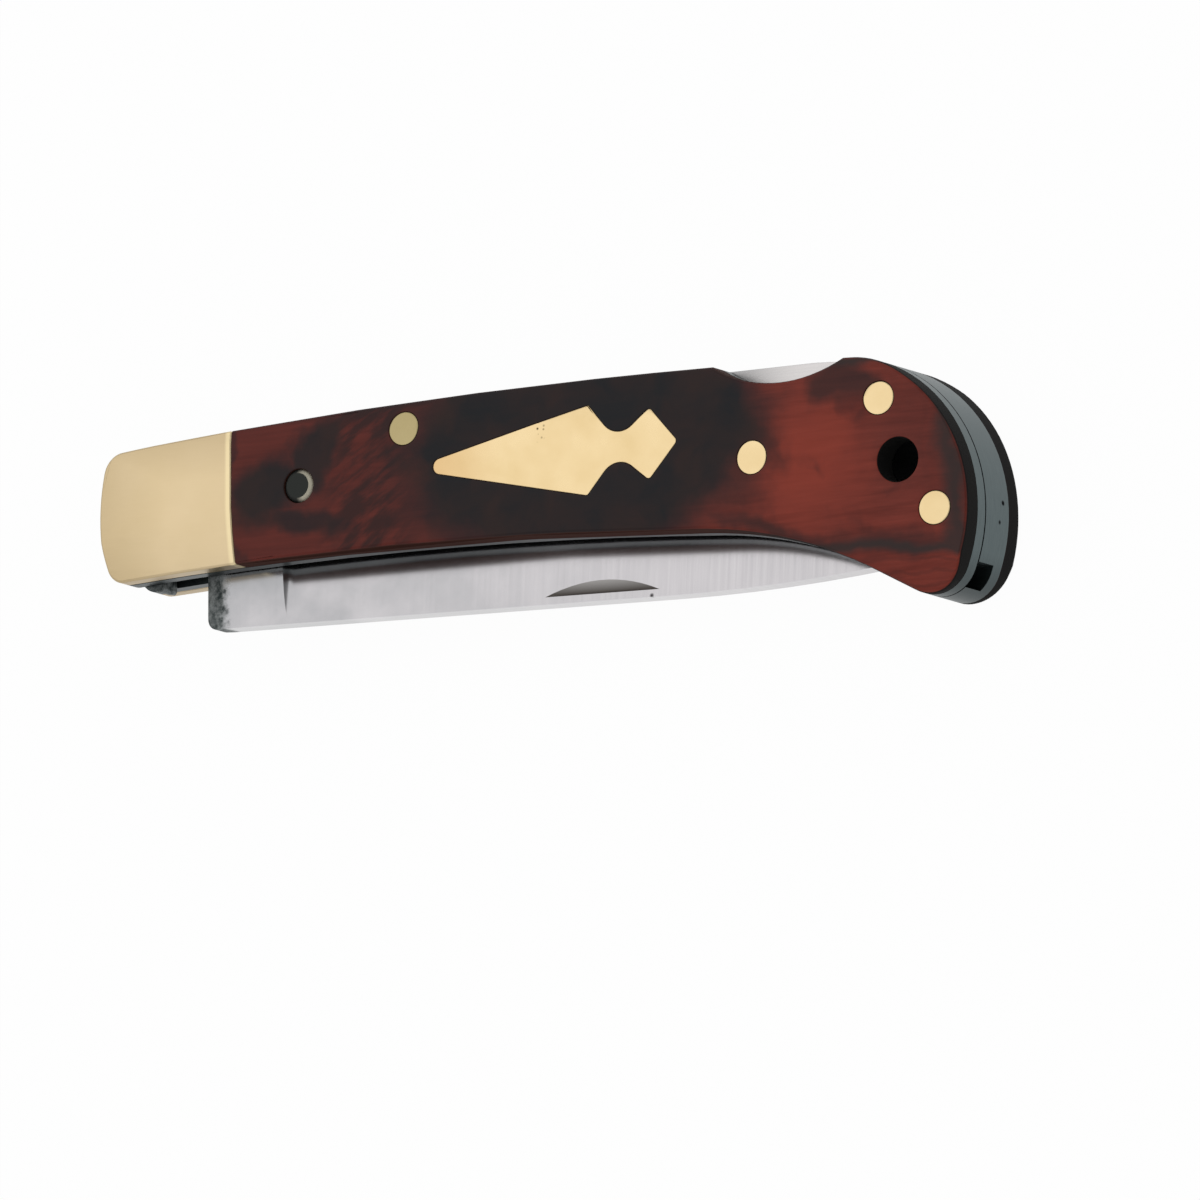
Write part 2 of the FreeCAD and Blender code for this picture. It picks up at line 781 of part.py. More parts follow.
# Nail nick: a shallow cone cut, square on the side of the spine
nick_half = get("nick_length") / 2
nick_radius = arc_radius(nick_half, get("nick_depth"))
nick = doc.addObject("Part::Cone", "nail_nick")
tie(nick, "Radius1", nick_radius)
tie(nick, "Radius2", nick_radius - get("nick_depth"))
tie(nick, "Height", get("nick_width"))
nick_run = get("nick_place").value - get("shoulder_place").value
nick_foot = FreeCAD.Vector(shoulder[0].value, shoulder[1].value, 0) + spine_line * nick_run
nick_foot = nick_foot + across * get("nick_rise").value
nick_lift = nick_radius.value - get("nick_depth").value - get("nick_rise").value * math.tan(bevel)
nick_level = blade_level.value + get("blade_thickness").value + nick_lift
nick_turn = FreeCAD.Rotation(up, across)
nick.Placement = FreeCAD.Placement(nick_foot + up * nick_level, nick_turn)
blade = doc.addObject("Part::Cut", "blade")
blade.Label = "blade"
blade.Base = blade_body
blade.Tool = nick
parts["blade"] = blade

# Lock bar: a lever along the spine that turns on the rocker pin, its tooth over the tang
bar_level = well_level + get("bar_side_play")
bar_thickness = well_width - get("bar_side_play") * 2
tooth_bottom = pivot[1] + tang + get("tooth_gap")
bar_bottom = tooth_bottom + get("bar_relief")
tooth_end = pivot[0] + notch_start - get("tooth_play")
boss_drop = rocker[1] - bar_bottom
boss_half = root(get("rocker_boss") * get("rocker_boss") - boss_drop * boss_drop)
bar_front = from_front(get("bar_front"))
spacer_front = from_butt(get("spacer_front_setback"))
bar_rear = spacer_front - get("bar_end_gap")
lock_bar = handle_plate("lock_bar", bar_level, bar_thickness)
keep_inside(
    lock_bar,
    [
        (bar_front, tooth_bottom),
        (tooth_end, tooth_bottom),
        (tooth_end, bar_bottom),
        (rocker[0] - boss_half, bar_bottom),
        (rocker[0] + boss_half, bar_bottom),
        (bar_rear, bar_bottom),
        (bar_rear, far_up),
        (bar_front, far_up),
    ],
    {3: get("rocker_boss")},
)
drill(lock_bar, "rocker_hole", [(rocker, get("pin_radius") + get("running_play"))])
parts["lock_bar"] = lock_bar

# Lock spring: a leaf from the spacer, over the spring pin, up to the underside of the bar
leaf = get("spring_thickness")
leaf_bottom = spring_pin[1] + get("pin_radius") + get("spring_gap")
leaf_top = leaf_bottom + leaf
leaf_rise = bar_bottom - get("spring_gap") - leaf_top
leaf_radius = arc_radius(get("spring_reach"), leaf_rise)
leaf_share = leaf / leaf_radius
leaf_end = spacer_front + get("spring_seat") - get("spring_gap")
lock_spring = new_body("lock_spring", well_level + get("spring_side_play"))
leaf_sketch = new_sketch(lock_spring, "leaf_outline")
leaf_corners = [
    (spring_pin[0], leaf_bottom),
    (leaf_end, leaf_bottom),
    (leaf_end, leaf_top),
    (spring_pin[0], leaf_top),
    (spring_pin[0] - get("spring_reach"), leaf_top + leaf_rise),
    (
        spring_pin[0] - get("spring_reach") * (leaf_share + 1),
        leaf_top + leaf_rise - (leaf_radius - leaf_rise) * leaf_share,
    ),
]
draw_loop(leaf_sketch, leaf_corners, {3: (leaf_radius,), 5: leaf_radius + leaf})
pad(lock_spring, leaf_sketch, well_width - get("spring_side_play") * 2)
parts["lock_spring"] = lock_spring

# Butt spacer: fills the well at the butt, with the spring's slot and a window at the tail
spacer = handle_plate("butt_spacer", well_level, well_width)
foot = from_butt(get("spacer_foot_setback"))
knee = below_axis(get("spacer_knee_drop"))
ankle = below_axis(get("spacer_foot_drop"))
slot_end = spacer_front + get("spring_seat")
slot_top = leaf_top + get("spring_gap")
slot_bottom = leaf_bottom - get("spring_gap")
window_x = from_butt(get("window_setback"))
window_top = below_axis(get("window_top_drop"))
window_bottom = window_top - get("window_height")
keep_inside(
    spacer,
    [
        (spacer_front, far_up),
        (spacer_front, slot_top),
        (slot_end, slot_top),
        (slot_end, slot_bottom),
        (spacer_front, slot_bottom),
        (spacer_front, knee),
        (foot, ankle),
        (foot, far_down),
        (far_butt, far_down),
        (far_butt, window_bottom),
        (window_x, window_bottom),
        (window_x, window_top),
        (far_butt, window_top),
        (far_butt, far_up),
    ],
    {},
)
drill(spacer, "upper_pin", [(upper_pin, pin_hole)])
drill(spacer, "lower_pin", [(lower_pin, pin_hole)])
drill(spacer, "lanyard", [(lanyard, get("lanyard_radius"))])
parts["butt_spacer"] = spacer

doc.recompute()

for item in doc.Objects:
    if "Invalid" in item.State or "Error" in item.State:
        raise RuntimeError(f"{item.Label} did not recompute: {item.State}")
for label, item in parts.items():
    shape = item.Shape
    if shape.isNull() or not shape.isValid() or not shape.Solids:
        raise RuntimeError(f"{label} is not a valid solid")

os.makedirs("parts", exist_ok=True)
for label, item in parts.items():
    item.Shape.exportStep(f"parts/{label}.step")
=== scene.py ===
"""Folding lock-back pocket knife: looks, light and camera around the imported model."""
import math

import bpy
from mathutils import Matrix, Vector


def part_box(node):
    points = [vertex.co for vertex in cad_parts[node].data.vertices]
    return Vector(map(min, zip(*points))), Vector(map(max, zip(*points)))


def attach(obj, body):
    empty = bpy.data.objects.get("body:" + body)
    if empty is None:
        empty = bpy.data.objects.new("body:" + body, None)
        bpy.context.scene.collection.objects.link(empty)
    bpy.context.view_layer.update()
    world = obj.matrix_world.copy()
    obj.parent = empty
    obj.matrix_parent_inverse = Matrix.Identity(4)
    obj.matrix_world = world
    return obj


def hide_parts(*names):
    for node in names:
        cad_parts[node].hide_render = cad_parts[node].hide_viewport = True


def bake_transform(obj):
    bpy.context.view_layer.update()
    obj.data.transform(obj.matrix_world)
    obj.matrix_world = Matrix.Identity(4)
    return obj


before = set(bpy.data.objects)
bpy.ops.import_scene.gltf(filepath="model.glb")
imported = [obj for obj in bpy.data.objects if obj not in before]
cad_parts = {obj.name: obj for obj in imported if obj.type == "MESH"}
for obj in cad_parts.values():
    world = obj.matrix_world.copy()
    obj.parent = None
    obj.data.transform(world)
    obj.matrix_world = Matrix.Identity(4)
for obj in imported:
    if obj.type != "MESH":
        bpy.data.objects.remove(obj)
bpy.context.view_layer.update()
MM = 0.001

# Liners: two stamped spring-steel plates that carry the whole knife.
# Their cut edges show as a thin line along the belly and as a band round the butt,
# tumbled to a dull blue-grey with fine drag marks left by the belt.


def linear(hex_colour):
    """An sRGB hex colour as linear red, green, blue and alpha."""
    parts = [int(hex_colour[i:i + 2], 16) / 255 for i in (1, 3, 5)]
    return [c / 12.92 if c <= 0.04045 else ((c + 0.055) / 1.055) ** 2.4 for c in parts] + [1.0]


def add_node(material, kind, inputs=None, **settings):
    """Adds a node, gives it its settings, and sets or links its inputs."""
    node = material.node_tree.nodes.new(kind)
    for name, value in settings.items():
        setattr(node, name, value)
    for name, value in (inputs or {}).items():
        if isinstance(value, bpy.types.NodeSocket):
            material.node_tree.links.new(value, node.inputs[name])
        else:
            node.inputs[name].default_value = value
    return node


def mix_colours(material, factor, under, over):
    """Lays one colour over another by a factor, and gives the colour that comes out."""
    first_colour, second_colour, result = 6, 7, 2
    node = add_node(
        material, "ShaderNodeMix",
        {"Factor": factor, first_colour: under, second_colour: over}, data_type="RGBA",
    )
    return node.outputs[result]


def new_material(name, **shader_values):
    """A material with its shader, and the place on the piece in millimetres."""
    material = bpy.data.materials.new(name)
    material.use_nodes = True
    shader = material.node_tree.nodes["Principled BSDF"]
    for socket, value in shader_values.items():
        shader.inputs[socket.replace("_", " ")].default_value = value
    place = add_node(material, "ShaderNodeTexCoord")
    scaled = add_node(
        material, "ShaderNodeVectorMath",
        {0: place.outputs["Object"], 1: (1000, 1000, 1000)}, operation="MULTIPLY",
    )
    return material, shader, scaled.outputs[0], place.outputs["Normal"]


def dress(material, *node_names):
    """Puts one material on CAD nodes as they are."""
    for name in node_names:
        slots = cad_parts[name].material_slots
        for slot in slots:
            slot.material = material
        if not slots:
            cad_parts[name].data.materials.append(material)


liner_steel, shader, place, normal = new_material("tumbled liner steel", Metallic=1.0)
drag = add_node(
    liner_steel, "ShaderNodeVectorMath", {0: place, 1: (0.5, 0.5, 9.0)}, operation="MULTIPLY"
)
marks = add_node(
    liner_steel, "ShaderNodeTexNoise",
    {"Vector": drag.outputs[0], "Scale": 1.0, "Detail": 4.0, "Roughness": 0.6},
)
# Lit and shaded tones of one steel: the darker one, blended in towards the butt, is painted shade.
bright = mix_colours(liner_steel, marks.outputs["Fac"], linear("#464C4D"), linear("#646B6C"))
butt_shade_tone = mix_colours(liner_steel, marks.outputs["Fac"], linear("#444F51"), linear("#646F70"))
split = add_node(liner_steel, "ShaderNodeSeparateXYZ", {0: place})
to_butt = add_node(
    liner_steel, "ShaderNodeMapRange",
    {"Value": split.outputs["X"], "From Min": 34.0, "From Max": 43.0},
)
tone = mix_colours(liner_steel, to_butt.outputs[0], bright, butt_shade_tone)
# Painted shade: darker by the bolsters and under the tail.
to_nose = add_node(
    liner_steel, "ShaderNodeMapRange",
    {"Value": split.outputs["X"], "From Min": -32.0, "From Max": -36.0, "To Max": 0.6},
)
under_tail = add_node(
    liner_steel, "ShaderNodeMapRange",
    {"Value": split.outputs["Y"], "From Min": -8.0, "From Max": -11.5, "To Max": 0.6},
)
shaded = add_node(
    liner_steel, "ShaderNodeMath",
    {0: to_nose.outputs[0], 1: under_tail.outputs[0]}, operation="MAXIMUM",
)
shaded_tone = mix_colours(liner_steel, shaded.outputs[0], tone, linear("#23292A"))
flat_place = add_node(
    liner_steel, "ShaderNodeVectorMath", {0: place, 1: (1, 1, 0)}, operation="MULTIPLY"
)
lanyard_bore = (42.5, 1.05)
# Painted shade: near-black round the lanyard bore and in a band along the seam by the blade. The
# two pits below are real dark marks.
from_bore = add_node(
    liner_steel, "ShaderNodeVectorMath",
    {0: flat_place.outputs[0], 1: (*lanyard_bore, 0.0)}, operation="DISTANCE",
)
painted_shade_and_pits = add_node(
    liner_steel, "ShaderNodeMapRange",
    {"Value": from_bore.outputs["Value"], "From Min": 2.6, "From Max": 2.3},
).outputs[0]
from_seam = add_node(
    liner_steel, "ShaderNodeMath", {0: split.outputs["Z"], 1: 7.45, 2: 0.1}, operation="COMPARE"
)
painted_shade_and_pits = add_node(
    liner_steel, "ShaderNodeMath", {0: painted_shade_and_pits, 1: from_seam.outputs[0]}, operation="MAXIMUM"
).outputs[0]
for pit in ((50.0, -2.85, 4.1), (49.8, -4.85, 4.75)):
    from_pit = add_node(
        liner_steel, "ShaderNodeVectorMath", {0: place, 1: pit}, operation="DISTANCE"
    )
    in_pit = add_node(
        liner_steel, "ShaderNodeMapRange",
        {"Value": from_pit.outputs["Value"], "From Min": 0.34, "From Max": 0.16},
    )
    painted_shade_and_pits = add_node(
        liner_steel, "ShaderNodeMath", {0: painted_shade_and_pits, 1: in_pit.outputs[0]}, operation="MAXIMUM"
    ).outputs[0]
shaded_and_pitted = mix_colours(liner_steel, painted_shade_and_pits, shaded_tone, linear("#0C0C10"))
polish = add_node(
    liner_steel, "ShaderNodeMapRange",
    {"Value": marks.outputs["Fac"], "To Min": 0.32, "To Max": 0.5},
)
liner_steel.node_tree.links.new(shaded_and_pitted, shader.inputs["Base Color"])
roughened = add_node(
    liner_steel, "ShaderNodeMath", {0: polish.outputs[0], 1: painted_shade_and_pits}, operation="MAXIMUM"
)
liner_steel.node_tree.links.new(roughened.outputs[0], shader.inputs["Roughness"])
dress(liner_steel, "front_liner", "back_liner", "butt_spacer")

# Pivot washers: thin rings punched from rolled phosphor bronze, redder than brass.
# They lie on the pivot pin, one on each side of the tang, and keep it off the liners.
bronze, shader, place, normal = new_material("rolled phosphor bronze", Metallic=1.0)
rolled = add_node(
    bronze, "ShaderNodeTexNoise", {"Vector": place, "Scale": 1.5, "Detail": 3.0}
)
tone = mix_colours(bronze, rolled.outputs["Fac"], linear("#A9764C"), linear("#C9946A"))
polish = add_node(
    bronze, "ShaderNodeMapRange",
    {"Value": rolled.outputs["Fac"], "To Min": 0.25, "To Max": 0.4},
)
bronze.node_tree.links.new(tone, shader.inputs["Base Color"])
bronze.node_tree.links.new(polish.outputs[0], shader.inputs["Roughness"])
dress(bronze, "front_pivot_washer", "back_pivot_washer")

# Blade: stainless steel, flat-ground on a belt and given a satin finish.
# The belt leaves fine lines across the blade, plainest near the point; the forged
# shoulder by the tang keeps its rough dark skin.
blade_steel, shader, place, normal = new_material("satin ground stainless", Metallic=1.0)
across = add_node(
    blade_steel, "ShaderNodeVectorMath", {0: place, 1: (2.4, 0.05, 0.05)}, operation="MULTIPLY"
)
lines = add_node(
    blade_steel, "ShaderNodeTexNoise",
    {"Vector": across.outputs[0], "Scale": 1.0, "Detail": 3.0, "Roughness": 0.65},
)
smears = add_node(
    blade_steel, "ShaderNodeTexNoise", {"Vector": place, "Scale": 0.16, "Detail": 4.0}
)
split = add_node(blade_steel, "ShaderNodeSeparateXYZ", {0: place})
toward_point = add_node(
    blade_steel, "ShaderNodeMapRange",
    {"Value": split.outputs["X"], "From Min": -20.0, "From Max": 15.0,
     "To Min": 0.15, "To Max": 0.6},
)
line_depth = add_node(
    blade_steel, "ShaderNodeMath",
    {0: lines.outputs["Fac"], 1: toward_point.outputs[0]}, operation="MULTIPLY",
)
satin = mix_colours(blade_steel, line_depth.outputs[0], linear("#CFCBCD"), linear("#A3A0A3"))
smear_depth = add_node(
    blade_steel, "ShaderNodeMapRange",
    {"Value": split.outputs["X"], "From Min": -32.0, "From Max": 12.0,
     "To Min": 1.0, "To Max": 0.25},
)
smear = add_node(
    blade_steel, "ShaderNodeMath",
    {0: smears.outputs["Fac"], 1: smear_depth.outputs[0]}, operation="MULTIPLY",
)
smeared = mix_colours(blade_steel, smear.outputs[0], satin, linear("#7F8486"))
skin_noise = add_node(
    blade_steel, "ShaderNodeTexNoise",
    {"Vector": place, "Scale": 1.3, "Detail": 5.0, "Roughness": 0.7},
)
skin_depth = add_node(
    blade_steel, "ShaderNodeMapRange",
    {"Value": skin_noise.outputs["Fac"], "From Min": 0.38, "From Max": 0.64},
)
skin = mix_colours(blade_steel, skin_depth.outputs[0], linear("#3A4141"), linear("#8C9090"))
skin_edge = add_node(
    blade_steel, "ShaderNodeMath",
    {0: skin_noise.outputs["Fac"], 1: 2.0, 2: split.outputs["X"]}, operation="MULTIPLY_ADD",
)
rough_skin = add_node(
    blade_steel, "ShaderNodeMapRange",
    {"Value": skin_edge.outputs[0], "From Min": -36.3, "From Max": -37.6},
    interpolation_type="SMOOTHSTEP",
)
# Painted shade in the nail nick: its sloping floor, found by its normals, darkens towards the deep
# wall.
facing = add_node(blade_steel, "ShaderNodeSeparateXYZ", {0: normal})
nick_slope = add_node(
    blade_steel, "ShaderNodeMapRange",
    {"Value": facing.outputs["Y"], "From Min": -0.12, "From Max": -0.24},
)
nick_level = add_node(
    blade_steel, "ShaderNodeMapRange",
    {"Value": facing.outputs["Z"], "From Min": 0.75, "From Max": 0.85},
)
in_nick = add_node(
    blade_steel, "ShaderNodeMath",
    {0: nick_slope.outputs[0], 1: nick_level.outputs[0]}, operation="MULTIPLY",
)
nick_drop = add_node(
    blade_steel, "ShaderNodeMath",
    {0: split.outputs["X"], 1: 0.03, 2: split.outputs["Y"]}, operation="MULTIPLY_ADD",
)
nick_depth = add_node(
    blade_steel, "ShaderNodeMapRange",
    {"Value": nick_drop.outputs[0], "From Min": -6.75, "From Max": -7.8},
)
nick_shade_tone = mix_colours(blade_steel, nick_depth.outputs[0], linear("#A9A6A4"), linear("#544F4B"))
nick_shaded = mix_colours(blade_steel, in_nick.outputs[0], smeared, nick_shade_tone)
from_pit = add_node(
    blade_steel, "ShaderNodeVectorMath", {0: place, 1: (11.6, -8.95, 7.05)}, operation="DISTANCE"
)
in_pit = add_node(
    blade_steel, "ShaderNodeMapRange",
    {"Value": from_pit.outputs["Value"], "From Min": 0.32, "From Max": 0.14},
)
pitted = mix_colours(blade_steel, in_pit.outputs[0], nick_shaded, linear("#1C1A1A"))
finish = mix_colours(blade_steel, rough_skin.outputs[0], pitted, skin)
polish = add_node(
    blade_steel, "ShaderNodeMapRange",
    {"Value": rough_skin.outputs[0], "To Min": 0.17, "To Max": 0.62},
)
scratches = add_node(
    blade_steel, "ShaderNodeBump",
    {"Height": line_depth.outputs[0], "Strength": 0.12, "Distance": 0.00002},
)
blade_steel.node_tree.links.new(finish, shader.inputs["Base Color"])
blade_steel.node_tree.links.new(polish.outputs[0], shader.inputs["Roughness"])
blade_steel.node_tree.links.new(scratches.outputs[0], shader.inputs["Normal"])
dress(blade_steel, "blade")

# Lock bar: hardened spring steel, polished along its length. Its back stands a little proud
# of the liners from the thumb scallop to the butt, and its side is painted darker towards the
# scallop's front, a painted shade.


def copy_node(node_name):
    """A copy of a CAD node with its loose triangles joined, active and in object mode."""
    bpy.ops.object.select_all(action="DESELECT")
    piece = bpy.data.objects.new(f"{node_name}_eased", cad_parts[node_name].data.copy())
    bpy.context.scene.collection.objects.link(piece)
    piece.select_set(True)
    bpy.context.view_layer.objects.active = piece
    bpy.ops.object.mode_set(mode="EDIT")
    bpy.ops.mesh.select_all(action="SELECT")
    bpy.ops.mesh.remove_doubles(threshold=0.03 * MM)
    bpy.ops.mesh.customdata_custom_splitnormals_clear()
    bpy.ops.mesh.dissolve_limited(angle_limit=math.radians(0.5))
    bpy.ops.mesh.select_all(action="DESELECT")
    bpy.ops.object.mode_set(mode="OBJECT")
    return piece


def ease_edges(piece, node_name, width, steps=2, weighed=False):
    """Rounds a copy's sharp edges, or those that have a weight, and stands in for its node."""
    bevel = piece.modifiers.new("eased edges", "BEVEL")
    bevel.width = width
    bevel.segments = steps
    bevel.limit_method = "WEIGHT" if weighed else "ANGLE"
    bevel.angle_limit = math.radians(40)
    bevel.loop_slide = not weighed
    bevel.use_clamp_overlap = False
    bevel.miter_outer = "MITER_ARC"
    bpy.ops.object.modifier_apply(modifier=bevel.name)
    bpy.ops.object.shade_smooth_by_angle(angle=math.radians(40))
    weighted = piece.modifiers.new("even shading", "WEIGHTED_NORMAL")
    weighted.keep_sharp = True
    bpy.ops.object.modifier_apply(modifier=weighted.name)
    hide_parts(node_name)


def paint(piece, material):
    """Gives a new piece its one material."""
    piece.data.materials.clear()
    piece.data.materials.append(material)


bar_steel, shader, place, normal = new_material("polished spring steel", Metallic=1.0)
along = add_node(
    bar_steel, "ShaderNodeVectorMath", {0: place, 1: (0.12, 6.0, 6.0)}, operation="MULTIPLY"
)
polish_lines = add_node(
    bar_steel, "ShaderNodeTexNoise",
    {"Vector": along.outputs[0], "Scale": 1.0, "Detail": 3.0},
)
streaked = mix_colours(bar_steel, polish_lines.outputs["Fac"], linear("#BEBBBB"), linear("#D6D2D0"))
split = add_node(bar_steel, "ShaderNodeSeparateXYZ", {0: place})
# Painted shade: the bar's side darkens towards the front of the thumb scallop.
shade_to_thumb = add_node(
    bar_steel, "ShaderNodeMapRange",
    {"Value": split.outputs["X"], "From Min": 30.0, "From Max": 16.0, "To Max": 0.85},
    interpolation_type="SMOOTHSTEP",
)
tone = mix_colours(bar_steel, shade_to_thumb.outputs[0], streaked, linear("#6E7173"))
polish = add_node(
    bar_steel, "ShaderNodeMapRange",
    {"Value": polish_lines.outputs["Fac"], "To Min": 0.2, "To Max": 0.36},
)
bar_steel.node_tree.links.new(tone, shader.inputs["Base Color"])
bar_steel.node_tree.links.new(polish.outputs[0], shader.inputs["Roughness"])
lock_bar = copy_node("lock_bar")
back_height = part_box("lock_bar")[1][1]
back_floor = 11.5 * MM
scallop_start, tail_start, tail_end = 12 * MM, 33 * MM, 40 * MM
tail_lift = 0.3 * MM
for start, end in ((scallop_start, tail_start), (tail_start, tail_end)):
    for corner in lock_bar.data.vertices:
        corner.select = start < corner.co.x < end and corner.co.y > back_floor
    bpy.ops.object.mode_set(mode="EDIT")
    if start == scallop_start:
        bpy.ops.transform.resize(value=(1, 0, 1), center_override=(0, back_height, 0))
    else:
        bpy.ops.transform.translate(value=(0, tail_lift, 0))
    bpy.ops.mesh.select_all(action="DESELECT")
    bpy.ops.object.mode_set(mode="OBJECT")
ease_edges(lock_bar, "lock_bar", width=0.12 * MM)
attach(lock_bar, "lock_bar")
paint(lock_bar, bar_steel)

# Bolsters: cast brass caps over the pivot, belt-sanded and buffed to a soft satin.
# Their edges are eased by hand, and handling has left a faint cloudy tarnish. Painted shade darkens
# the front end, the walls and the spine side, and a painted highlight lights the rear edge at the
# joint.
bolster_brass, shader, place, normal = new_material("buffed satin brass", Metallic=1.0)
clouds = add_node(
    bolster_brass, "ShaderNodeTexNoise",
    {"Vector": place, "Scale": 0.11, "Detail": 3.0, "Roughness": 0.5},
)
tone = mix_colours(bolster_brass, clouds.outputs["Fac"], linear("#DDC8A4"), linear("#CDB78D"))
split = add_node(bolster_brass, "ShaderNodeSeparateXYZ", {0: place})
# Painted shade: darker at the front end, on the sloping walls and towards the spine.
to_front_end = add_node(
    bolster_brass, "ShaderNodeMapRange",
    {"Value": split.outputs["X"], "From Min": -42.0, "From Max": -50.0, "To Max": 0.5},
)
facing = add_node(bolster_brass, "ShaderNodeSeparateXYZ", {0: normal})
slope = add_node(bolster_brass, "ShaderNodeMath", {0: facing.outputs["Z"]}, operation="ABSOLUTE")
to_spine = add_node(
    bolster_brass, "ShaderNodeMapRange",
    {"Value": split.outputs["Y"], "From Min": 6.5, "From Max": 10.5, "To Max": 0.5},
)
on_wall = add_node(
    bolster_brass, "ShaderNodeMapRange",
    {"Value": slope.outputs[0], "From Min": 0.8, "From Max": 0.4},
)
end_and_wall_shade = add_node(
    bolster_brass, "ShaderNodeMath",
    {0: to_front_end.outputs[0], 1: on_wall.outputs[0]}, operation="MAXIMUM",
)
bolster_shade = add_node(
    bolster_brass, "ShaderNodeMath",
    {0: end_and_wall_shade.outputs[0], 1: to_spine.outputs[0]}, operation="MAXIMUM",
)
bolster_shaded = mix_colours(bolster_brass, bolster_shade.outputs[0], tone, linear("#B39F7C"))
# Painted highlight: a light strip along the rear edge, at the joint with the scales.
at_joint = add_node(
    bolster_brass, "ShaderNodeMapRange",
    {"Value": split.outputs["X"], "From Min": -35.1, "From Max": -34.8, "To Max": 0.6},
)
joint_highlight = mix_colours(bolster_brass, at_joint.outputs[0], bolster_shaded, linear("#F4E2B4"))
buffing = add_node(
    bolster_brass, "ShaderNodeVectorMath", {0: place, 1: (0.4, 9.0, 9.0)}, operation="MULTIPLY"
)
buff_lines = add_node(
    bolster_brass, "ShaderNodeTexNoise",
    {"Vector": buffing.outputs[0], "Scale": 1.0, "Detail": 2.0},
)
polish = add_node(
    bolster_brass, "ShaderNodeMapRange",
    {"Value": buff_lines.outputs["Fac"], "To Min": 0.34, "To Max": 0.44},
)
bolster_brass.node_tree.links.new(joint_highlight, shader.inputs["Base Color"])
bolster_brass.node_tree.links.new(polish.outputs[0], shader.inputs["Roughness"])
for side in ("front", "back"):
    bolster = copy_node(f"{side}_bolster")
    ease_edges(bolster, f"{side}_bolster", width=0.25 * MM, steps=3)
    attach(bolster, "handle")
    paint(bolster, bolster_brass)

# Scales: red and black dyed hardwood laminate, sanded to a crown and oiled.
# The cut runs in and out of the dyed layers, so it shows smoky dark fields, red
# fields with fine grain, and thin layer lines where the crown rolls off at the butt.
wood, shader, place, normal = new_material("dyed laminated hardwood")
shader.inputs["Specular IOR Level"].default_value = 0.16
wander = add_node(
    wood, "ShaderNodeTexNoise", {"Vector": place, "Scale": 0.2, "Detail": 3.0, "Roughness": 0.5}
)
centred = add_node(
    wood, "ShaderNodeVectorMath",
    {0: wander.outputs["Color"], 1: (0.5, 0.5, 0.5)}, operation="SUBTRACT",
)
shifted = add_node(
    wood, "ShaderNodeVectorMath",
    {0: centred.outputs[0], 1: (8.0, 4.5, 1.2), 2: place}, operation="MULTIPLY_ADD",
)
dye_and_shade = 0.0
for middle, reach, lean, soft, depth in (
    ((-35.0, 4.0), (1.3, 14.0), 0, 0.3, 0.55),
    ((-30.0, 4.4), (4.4, 3.0), 15, 0.4, 1.0),
    ((-25.0, 7.6), (4.4, 2.1), 45, 0.4, 0.95),
    ((-26.0, 1.2), (5.0, 1.5), -10, 0.5, 0.85),
    ((6.5, 6.0), (21.5, 11.6), 0, 0.2, 1.0),
    ((36.2, 9.4), (4.0, 2.2), -10, 0.5, 0.75),
    ((46.5, 4.0), (7.0, 7.0), 0, 0.6, 0.3),
    ((41.5, -7.0), (7.0, 1.2), -8, 0.7, 0.65),
    ((29.5, -4.9), (9.5, 0.9), -13, 0.7, 0.7),
):
    offset = add_node(
        wood, "ShaderNodeVectorMath",
        {0: shifted.outputs[0], 1: (middle[0], middle[1], 0.0)}, operation="SUBTRACT",
    )
    field_place = add_node(
        wood, "ShaderNodeMapping",
        {"Vector": offset.outputs[0], "Rotation": (0, 0, math.radians(-lean))},
    )
    field_reach = add_node(
        wood, "ShaderNodeVectorMath",
        {0: field_place.outputs[0], 1: (1 / reach[0], 1 / reach[1], 0.0)}, operation="MULTIPLY",
    )
    away = add_node(wood, "ShaderNodeVectorMath", {0: field_reach.outputs[0]}, operation="LENGTH")
    field = add_node(
        wood, "ShaderNodeMapRange",
        {"Value": away.outputs["Value"], "From Min": 1 + soft, "From Max": 1 - soft,
         "To Max": depth},
        interpolation_type="SMOOTHSTEP",
    )
    dye_and_shade = add_node(
        wood, "ShaderNodeMath", {0: dye_and_shade, 1: field.outputs[0]}, operation="MAXIMUM"
    ).outputs[0]
split = add_node(wood, "ShaderNodeSeparateXYZ", {0: place})
# Painted shade: a dark strip along the spine's edge where the crown falls away, in front of the
# butt.
above_middle = add_node(
    wood, "ShaderNodeMath", {0: split.outputs["Z"], 1: 6.0}, operation="SUBTRACT"
)
level = add_node(wood, "ShaderNodeMath", {0: above_middle.outputs[0]}, operation="ABSOLUTE")
off_crown = add_node(
    wood, "ShaderNodeMapRange",
    {"Value": level.outputs[0], "From Min": 5.86, "From Max": 5.6, "To Max": 0.8},
)
spine_side = add_node(
    wood, "ShaderNodeMapRange", {"Value": split.outputs["Y"], "From Min": 7.0, "From Max": 9.5}
)
front_part = add_node(
    wood, "ShaderNodeMapRange", {"Value": split.outputs["X"], "From Min": 26.0, "From Max": 20.0}
)
spine_edge = add_node(
    wood, "ShaderNodeMath",
    {0: off_crown.outputs[0], 1: spine_side.outputs[0]}, operation="MULTIPLY",
)
spine_edge_shade = add_node(
    wood, "ShaderNodeMath",
    {0: spine_edge.outputs[0], 1: front_part.outputs[0]}, operation="MULTIPLY",
)
dye_and_shade = add_node(
    wood, "ShaderNodeMath", {0: dye_and_shade, 1: spine_edge_shade.outputs[0]}, operation="MAXIMUM"
).outputs[0]
fibre_place = add_node(
    wood, "ShaderNodeVectorMath", {0: place, 1: (0.11, 1.5, 1.5)}, operation="MULTIPLY"
)
